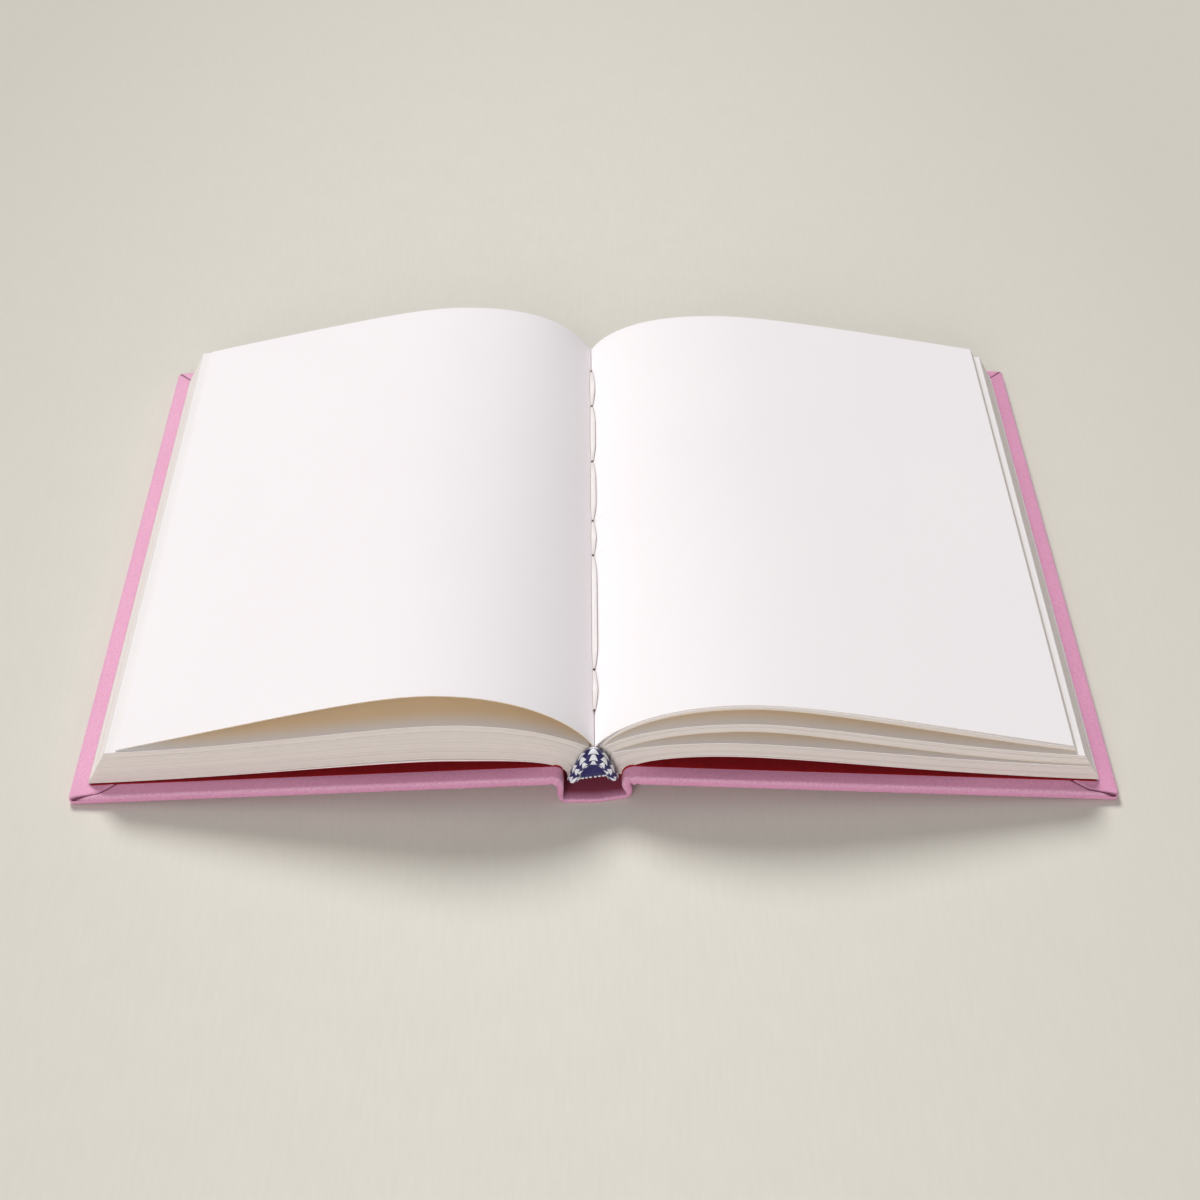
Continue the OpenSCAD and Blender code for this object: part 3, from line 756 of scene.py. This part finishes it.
def spine_card():
    """Card strip in the case spine, cut to the slant of its tail end."""
    x = np.linspace(-INLAY_W / 2, INLAY_W / 2, 24)
    from_tail = np.array([CLOTH_T, 2, 4, 6, 8, 10, 12.5, COVER_L - CLOTH_T])
    across, along = np.meshgrid(x, from_tail)
    y = along - COVER_L / 2 + spine_slant(across, along)
    builder = Builder()
    builder.prism(np.stack([across, y, np.full_like(y, CLOTH_T)], -1),
                  np.stack([across, y, np.full_like(y, CLOTH_T + INLAY_T)], -1))
    piece = builder.build("spine_card", [GREYBOARD])
    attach(piece, "text_block")
    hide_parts("spine_inlay")


def rounded_corner(fore, end):
    """Bends a cover's lines round its corner, with the distance of each point from the nearest edge."""
    p = np.clip(1 - fore / CORNER_R, 0, 1)
    q = np.clip(1 - end / CORNER_R, 0, 1)
    corner = (p > 0) & (q > 0)
    new_p = np.where(corner, p * np.sqrt(1 - q * q / 2), p)
    new_q = np.where(corner, q * np.sqrt(1 - p * p / 2), q)
    fore = np.where(corner, CORNER_R * (1 - new_p), fore)
    end = np.where(corner, CORNER_R * (1 - new_q), end)
    distance = np.where(corner, CORNER_R * (1 - np.hypot(new_p, new_q)), np.minimum(fore, end))
    return fore, end, distance


def rounded_edges(low, high, distance):
    """Draws the two faces of the case together in a half round at its edges."""
    centre, reach = (low + high) / 2, (high - low) / 2
    length = np.linalg.norm(reach, axis=-1)
    r = np.minimum(EDGE_R, length - 0.03)
    inset = np.clip(r - distance, 0, None)
    share = (length - r + np.sqrt(np.clip(r * r - inset * inset, 0, None))) / length
    return centre - reach * share[..., None], centre + reach * share[..., None], centre[..., 0]


def turn_ins(fore, end, y, joint_n):
    """Distance from the mitre seams, and how far the inner face sinks there and inside the turn-ins."""
    n = fore.shape[1]
    seam = np.full(fore.shape, NO_SEAM)
    b_fore, b_end = fore[:, joint_n:], end[:, joint_n:]
    on_turn_in = (b_fore < TURN_IN + 1) & (b_end < TURN_IN + 1)
    seam[:, joint_n:] = np.where(on_turn_in, mitre_distance(b_fore, b_end, y[:, None]), NO_SEAM)
    well = smoothstep(np.minimum(fore, end), TURN_IN, TURN_IN + 0.8)
    well[:, :joint_n] = smoothstep(end[:, :joint_n], TURN_IN, TURN_IN + 0.8)
    drop = well * (CLOTH_T - 0.03)
    drop[:, :joint_n] = 0
    groove = (SEAM_DEPTH * np.exp(-(seam / SEAM_HALF) ** 2)
              - SEAM_LIP * np.exp(-((seam - SEAM_LIP_OFF) / SEAM_LIP_HALF) ** 2))
    groove = np.where(np.minimum(fore, end) < TURN_IN + 1, groove, 0)
    floor_well = np.where(np.arange(n) < FLOOR_POINTS, well * (FLOOR_T - 0.36), 0)
    return seam, drop + groove + floor_well


def bend_with_cover(piece):
    """Bakes a sheet's placement into its mesh; the sheet does not bend at the hinge line."""
    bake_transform(piece)


def case_half(side):
    """Cloth over one half of the case: half the spine, the joint, and a cover with its turn-ins."""
    outer, inner, x = case_outline(side)
    from_end = edge_lines(TURN_IN_LINES, 0.45)
    half_l = COVER_L / 2
    plain_l = half_l - TURN_IN_LINES - 1
    middle = np.linspace(-plain_l, plain_l, 22)
    y = np.unique(np.round(np.concatenate([-half_l + from_end, middle, half_l - from_end]), 4))
    joint_n, n = len(outer), len(outer) + len(x)
    plan_x = np.concatenate([np.full(joint_n, FAR_FROM_EDGE), x])
    fore, end = np.meshgrid(COVER_W - plan_x, half_l - np.abs(y))
    fore, end, distance = rounded_corner(fore, end)
    board_x = COVER_W - fore[:, joint_n:]
    low = np.empty((len(y), n, 2))
    high = np.empty((len(y), n, 2))
    low[:, :joint_n], high[:, :joint_n] = outer, inner
    low[:, joint_n:] = cover_point(board_x, np.zeros_like(board_x))
    high[:, joint_n:] = cover_point(board_x, np.full_like(board_x, COVER_T))
    low, high, centre_x = rounded_edges(low, high, distance)
    seam, sunk = turn_ins(fore, end, y, joint_n)
    high[..., 1] -= sunk
    fold = NOTCH * np.exp(-((centre_x - HINGE_X - NOTCH_X) / NOTCH_HALF) ** 2)
    fold -= SWELL * np.exp(-((centre_x - HINGE_X - SWELL_X) / SWELL_HALF) ** 2)
    depth = smoothstep(FOLD_REACH - (half_l - np.abs(y))[:, None], 0.0, FOLD_REACH)
    sign = np.sign(y)[:, None]
    along = sign * (half_l - end) - sign * fold * depth
    along += spine_slant(side * centre_x, end) * (sign < 0)
    under = np.stack([side * low[..., 0], along, low[..., 1]], -1)
    over = np.stack([side * high[..., 0], along, high[..., 1]], -1)
    tip = smoothstep(TIP_REACH - fore, 0.0, TIP_REACH)
    seam = seam * (1 - TIP_WIDENING * tip)
    # Painted shade inside the spine hollow: on the inner side of spine and joint, growing from 0.9 mm to
    # 4.5 mm in from each end.
    hollow = smoothstep(end, 0.9, 4.5) * (np.arange(n) < joint_n - 5)
    # Where the painted highlight lies: a narrow band just in from each rounded edge.
    rim = np.exp(-((distance - RIM_FROM_EDGE) / RIM_HALF) ** 2)
    builder = Builder()
    builder.prism(under, over, (0, 0, 0, 0, 0), seam=seam, hollow=hollow, rim=rim)
    for key, plain in (("seam", NO_SEAM), ("hollow", 0.0), ("rim", 0.0)):
        builder.values[key][0].reshape(len(y), 2 * n)[:, :n] = plain
    name = SIDE_NAMES[side]
    piece = builder.build(name + "_case_cloth", [PINK], sharp=60)
    bend_with_cover(piece)
    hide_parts(name + "_cover_cloth", "spine_cloth")


def pastedown(side):
    """Red endpaper glued to the board. It drops inside the turn-ins and folds into the joint."""
    _, inner, _ = case_outline(side)
    lip = inner[-2 * LIP_POINTS:]
    x = np.unique(np.concatenate([np.linspace(1.0, COVER_W - 18, 26),
                                  np.linspace(COVER_W - 18, COVER_W - MARGIN - EDGE_R, 22)]))
    half_l = COVER_L / 2 - MARGIN
    edge = np.linspace(0, 10.5, 22)
    y = np.unique(np.round(np.concatenate([-half_l + edge, np.linspace(-half_l + 11, half_l - 11, 18),
                                           half_l - edge]), 4))
    fore, end = np.meshgrid(COVER_W - x, COVER_L / 2 - np.abs(y))
    well = smoothstep(np.minimum(fore, end), TURN_IN, TURN_IN + 1.2)
    lift = 0.02
    top = cover_point(np.broadcast_to(x, fore.shape), COVER_T + lift + PAPER_T - well * (CLOTH_T - 0.05))
    bottom = cover_point(np.broadcast_to(x, fore.shape), COVER_T + lift - well * (CLOTH_T - 0.05))
    along = np.gradient(lip, axis=0)
    normal = np.stack([-along[:, 1], along[:, 0]], -1)
    normal /= np.linalg.norm(normal, axis=1)[:, None]
    normal *= np.sign(-normal[:, :1] + 1e-9)
    lip_top = np.broadcast_to(lip + normal * (lift + PAPER_T), (len(y), len(lip), 2))
    lip_low = np.broadcast_to(lip + normal * lift, (len(y), len(lip), 2))
    high = np.concatenate([lip_top, top], axis=1)
    low = np.concatenate([lip_low, bottom], axis=1)
    rows = np.broadcast_to(y[:, None], high.shape[:2])
    builder = Builder()
    builder.prism(np.stack([side * low[..., 0], rows, low[..., 1]], -1),
                  np.stack([side * high[..., 0], rows, high[..., 1]], -1))
    name = SIDE_NAMES[side]
    piece = builder.build(name + "_pastedown_sheet", [RED])
    bend_with_cover(piece)
    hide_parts(name + "_pastedown")


# Bands and sewing

BAND_PITCH = 3.3
CHECK_ROWS = 8
CHECK_TOP_HALF, CHECK_WIDENING = 0.4, 1.1
BAND_LEFT, BAND_RIGHT = math.radians(-90), math.radians(79)
BAND_SHIFT = -0.35
HEM_H, HEM_SLOPE, HEM_LOOPS = 7.8, 0.16, 8
THREAD_PITCH, SKIRT_PITCH = 0.42, 0.5


def band_frame(angle, rise):
    """Inner and outer point of the band's arch at an angle from the upright, both in X and Z."""
    across, up = np.sin(angle), np.cos(angle)
    outer = np.stack([BAND_SHIFT + FOOT[0] * across, BAND_BASE + rise * up ** 2], -1)
    inner = np.stack([BAND_SHIFT + BAND_INNER * across, BAND_BASE + BAND_OPENING * up], -1)
    return inner, outer


def band(name, end, rise):
    """Rolled bead with its woven checks, the cloth that hangs inside it and a row of loops."""
    rings_n, sides_n = 221, 96
    angle = np.linspace(BAND_LEFT, BAND_RIGHT, rings_n)
    inner, outer = band_frame(angle, rise)
    middle, reach = (inner + outer) / 2, (outer - inner) / 2
    step = np.linalg.norm(np.diff(middle, axis=0), axis=1)
    along = np.concatenate([[0], np.cumsum(step)])
    to_end = np.minimum(along, along[-1] - along)
    along -= np.interp(0, angle, along)
    turn = np.linspace(0, 2 * np.pi, sides_n, endpoint=False)
    edge_y = PAGE_TAIL if end < 0 else PAGE_HEAD
    centre_y = edge_y + end * (BEAD_D / 2 + 0.05)
    column = np.round(along / BAND_PITCH)
    offset = np.abs(along - column * BAND_PITCH)[:, None]
    row = (end * turn[None, :] / (2 * np.pi) * CHECK_ROWS + 0.5 * (np.abs(column)[:, None] % 2)) % 1.0
    half_width = CHECK_TOP_HALF + CHECK_WIDENING * row
    check = np.minimum(half_width - offset, (0.86 - row) * 5)
    fringe = smoothstep(to_end, 2.0, 1.2)[:, None]
    check = check * (1 - fringe) + fringe * (np.cos(5 * turn)[None, :] * 1.2 + 0.3)
    thread = 0.5 + 0.5 * np.cos(2 * np.pi * along / THREAD_PITCH)[:, None] * np.ones(sides_n)
    taper = np.sqrt(np.clip(1 - (np.clip(1.5 - to_end, 0, None) / 1.55) ** 2, 0.05, 1))
    plump = 1 + 0.06 * np.clip(check, -0.4, 0.6)
    radial = reach[:, None] * np.cos(turn)[None, :, None] * (taper[:, None] * plump)[..., None]
    points = np.empty((rings_n, sides_n, 3))
    points[..., 0] = middle[:, None, 0] + radial[..., 0]
    points[..., 2] = middle[:, None, 1] + radial[..., 1]
    points[..., 1] = centre_y + BEAD_D / 2 * np.sin(turn)[None, :] * taper[:, None] * plump
    builder = Builder()
    builder.tube(points, check=check, thread=thread)
    skirt_and_loops(builder, centre_y, end, rise)
    piece = builder.build(name + "_woven", [BAND])
    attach(piece, "text_block")
    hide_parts(name)


def skirt_and_loops(builder, centre_y, end, rise):
    """Cloth hanging inside the bead, with fine upright threads and white loops on its slanting hem."""
    columns = 61
    angle = np.linspace(math.radians(-74), math.radians(70), columns)
    inner, _ = band_frame(angle, rise)
    x = BAND_SHIFT + (inner[:, 0] - BAND_SHIFT) * 1.08
    upper = inner[:, 1] + 0.6
    lower = np.minimum(HEM_H + HEM_SLOPE * x, upper - 0.4)
    rows = 10
    share = np.linspace(0, 1, rows)
    grid = np.empty((rows, columns, 3))
    grid[..., 0] = x
    grid[..., 2] = upper + (lower - upper) * share[:, None]
    belly = 0.5 * np.sin(np.pi * share)[:, None] * np.cos(angle)
    strands = 0.5 + 0.5 * np.cos(2 * np.pi * x / SKIRT_PITCH)
    grid[..., 1] = centre_y + end * (0.1 + belly + 0.06 * strands)
    back = grid - [0, end * 0.35, 0]
    builder.prism(grid, back, check=-1.0, thread=np.broadcast_to(strands, (rows, columns)))
    for k in range(HEM_LOOPS):
        i = int((k + 0.5) / HEM_LOOPS * columns)
        loop_bead(builder, np.array([x[i], centre_y + end * 0.15, lower[i] - 0.02]), (0.46, 0.38, 0.27),
                  check=1.0, thread=0.5)


def loop_bead(builder, centre, radii, **values):
    """Small rounded bead, such as the end of a thread loop."""
    rings, sides = 9, 14
    rise = np.linspace(-0.94, 0.94, rings) * np.pi / 2
    turn = np.linspace(0, 2 * np.pi, sides, endpoint=False)
    points = np.empty((rings, sides, 3))
    points[..., 0] = centre[0] + radii[0] * np.cos(rise)[:, None] * np.cos(turn)
    points[..., 1] = centre[1] + radii[1] * np.cos(rise)[:, None] * np.sin(turn)
    points[..., 2] = centre[2] + radii[2] * np.sin(rise)[:, None] * np.ones(sides)
    builder.tube(points, **values)


def sewing():
    """Thread lying in the open fold: a soft flat strand between each two stations, and a near-black bead at
    each station as the painted shade of its hole.
    """
    middle_y = (PAGE_TAIL + PAGE_HEAD) / 2
    builder = Builder()
    for a, b in zip(STATIONS[:-1], STATIONS[1:]):
        y = middle_y + np.linspace(b + 0.25, a - 0.25, 60)
        opening = stitch_opening(y)
        turn = np.linspace(0, 2 * np.pi, 20, endpoint=False)
        left = -0.12 - 0.42 * opening ** 0.4
        right = 0.15 + 1.05 * opening
        centre, half = (left + right) / 2, (right - left) / 2
        rings = np.empty((len(y), len(turn), 3))
        rings[..., 0] = centre[:, None] + half[:, None] * np.cos(turn)
        rings[..., 1] = y[:, None]
        lift = (GUTTER_H + 0.15 + 0.55 * opening)[:, None]
        rings[..., 2] = lift + 0.42 * np.sin(turn) * (0.35 + 0.65 * opening)[:, None]
        # Painted shade: darker at the strand's two sides and where it narrows into the fold near a station.
        edge = smoothstep(np.abs(np.cos(turn)), 0.80, 1.0)[None, :] * 0.8 + (1 - opening)[:, None] * 0.5
        builder.tube(rings, edge=np.clip(edge, 0, 1), hole=0.0)
    # Near-black beads at the stations, painted as the shade of the sewing holes.
    for station in STATIONS:
        loop_bead(builder, np.array([0.0, middle_y + station, GUTTER_H + 0.5]), (0.28, 0.45, 0.3),
                  edge=0.0, hole=1.0)
    piece = builder.build("sewn_stitches", [THREAD])
    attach(piece, "text_block")
    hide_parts("sewing_thread")


page_block_pieces()
flyleaf("left_flyleaf", -1, left_under, 0.8)
flyleaf("right_flyleaf", 1, low_under, 0.3)
case_half(-1)
case_half(1)
pastedown(-1)
pastedown(1)
spine_card()
band("head_band", 1, BAND_RISE - HEAD_BAND_DROP)
band("tail_band", -1, BAND_RISE)
sewing()
dress("spine_lining", LINING)
dress("left_board", GREYBOARD)
dress("right_board", GREYBOARD)


# Floor, light and camera

FLOOR_HALF = 6.0
CAMERA_LENS, CAMERA_SENSOR = 63.0, 36.0
CAMERA_PLACE = np.array([-2.94, -546.4, 439.72])
CAMERA_PITCH, CAMERA_YAW, CAMERA_ROLL = (math.radians(v) for v in (39.783, 0.571, 0.165))
WORLD_HORIZON, WORLD_ZENITH = 0.09, 0.3


def floor():
    """Plain pale floor that keeps the notebook's shadow, with a painted falloff of light that makes it a
    little darker far from the notebook.
    """
    n = Nodes("pale_floor", roughness=0.95, specular=0.0)
    grain = n.noise(60, detail=3)
    distance = n.node("ShaderNodeVectorMath", operation="LENGTH")
    n.link(n.place((1.25, 0.5, 1.0), (0.035, 0.0, 0.0)), distance.inputs[0])
    streaks = n.noise(800, stretch=(1, 0.1, 1), detail=2)
    near = n.mix(n.ramp(grain, 0.3, 0.7), (0.80, 0.775, 0.705), (0.815, 0.79, 0.72))
    # Painted falloff of light: the floor darkens away from the notebook.
    plain = n.mix(n.ramp(distance.outputs["Value"], 0.08, 0.36), near, (0.68, 0.655, 0.59))
    n.colour(n.mix(n.ramp(streaks, 0.35, 0.65, 0.0, 0.08), plain, (0.60, 0.575, 0.51)))
    mesh = bpy.data.meshes.new("floor")
    corners = [(x * FLOOR_HALF, y * FLOOR_HALF, 0) for x, y in ((-1, -1), (1, -1), (1, 1), (-1, 1))]
    mesh.from_pydata(corners, [], [(0, 1, 2, 3)])
    mesh.materials.append(n.material)
    piece = bpy.data.objects.new("floor", mesh)
    bpy.context.scene.collection.objects.link(piece)


def sun(name, bearing, elevation, strength, softness, colour):
    """Soft distant light. The bearing is counted from the head side towards the left, in degrees."""
    data = bpy.data.lights.new(name, "SUN")
    data.energy = strength
    data.angle = math.radians(softness)
    data.color = colour
    bearing, elevation = math.radians(bearing), math.radians(elevation)
    back = np.array([-math.sin(bearing) * math.cos(elevation), math.cos(bearing) * math.cos(elevation),
                     math.sin(elevation)])
    right = np.cross([0, 0, 1], back)
    right /= np.linalg.norm(right)
    up = np.cross(back, right)
    piece = bpy.data.objects.new(name, data)
    piece.matrix_world = Matrix([(right[k], up[k], back[k], 0) for k in range(3)] + [(0, 0, 0, 1)])
    bpy.context.scene.collection.objects.link(piece)


def light():
    """Soft light from above all round, a key from behind on the left and a fill from the front."""
    world = bpy.data.worlds.new("studio")
    world.use_nodes = True
    tree = world.node_tree
    coordinates = tree.nodes.new("ShaderNodeTexCoord")
    height = tree.nodes.new("ShaderNodeSeparateXYZ")
    ramp = tree.nodes.new("ShaderNodeMapRange")
    ramp.inputs["From Min"].default_value = 0.0
    ramp.inputs["From Max"].default_value = 1.0
    ramp.inputs["To Min"].default_value = WORLD_HORIZON
    ramp.inputs["To Max"].default_value = WORLD_ZENITH
    cast = tree.nodes["Background"]
    cast.inputs["Color"].default_value = (1.0, 0.99, 0.985, 1)
    seen = tree.nodes.new("ShaderNodeBackground")
    seen.inputs["Color"].default_value = (0.64, 0.61, 0.54, 1)
    path = tree.nodes.new("ShaderNodeLightPath")
    mixed = tree.nodes.new("ShaderNodeMixShader")
    tree.links.new(coordinates.outputs["Generated"], height.inputs[0])
    tree.links.new(height.outputs["Z"], ramp.inputs["Value"])
    tree.links.new(ramp.outputs["Result"], cast.inputs["Strength"])
    tree.links.new(path.outputs["Is Camera Ray"], mixed.inputs[0])
    tree.links.new(cast.outputs[0], mixed.inputs[1])
    tree.links.new(seen.outputs[0], mixed.inputs[2])
    tree.links.new(mixed.outputs[0], tree.nodes["World Output"].inputs["Surface"])
    bpy.context.scene.world = world
    sun("key", bearing=20, elevation=44, strength=2.3, softness=22, colour=(1.0, 0.99, 0.98))
    sun("front_fill", bearing=165, elevation=24, strength=1.42, softness=40, colour=(1.0, 0.985, 0.975))


def camera():
    """Camera placed by fitting the photograph's outline."""
    data = bpy.data.cameras.new("camera")
    data.lens = CAMERA_LENS
    data.sensor_width = CAMERA_SENSOR
    heading = np.array([math.sin(CAMERA_YAW), math.cos(CAMERA_YAW), 0.0])
    forward = heading * math.cos(CAMERA_PITCH) - [0, 0, math.sin(CAMERA_PITCH)]
    level = np.array([math.cos(CAMERA_YAW), -math.sin(CAMERA_YAW), 0.0])
    rise = np.cross(level, forward)
    right = math.cos(CAMERA_ROLL) * level + math.sin(CAMERA_ROLL) * rise
    up = -math.sin(CAMERA_ROLL) * level + math.cos(CAMERA_ROLL) * rise
    place = CAMERA_PLACE * MM
    piece = bpy.data.objects.new("camera", data)
    rows = [(right[k], up[k], -forward[k], place[k]) for k in range(3)]
    piece.matrix_world = Matrix(rows + [(0, 0, 0, 1)])
    bpy.context.scene.collection.objects.link(piece)
    bpy.context.scene.camera = piece


floor()
light()
camera()
bpy.context.scene.view_settings.view_transform = "Standard"
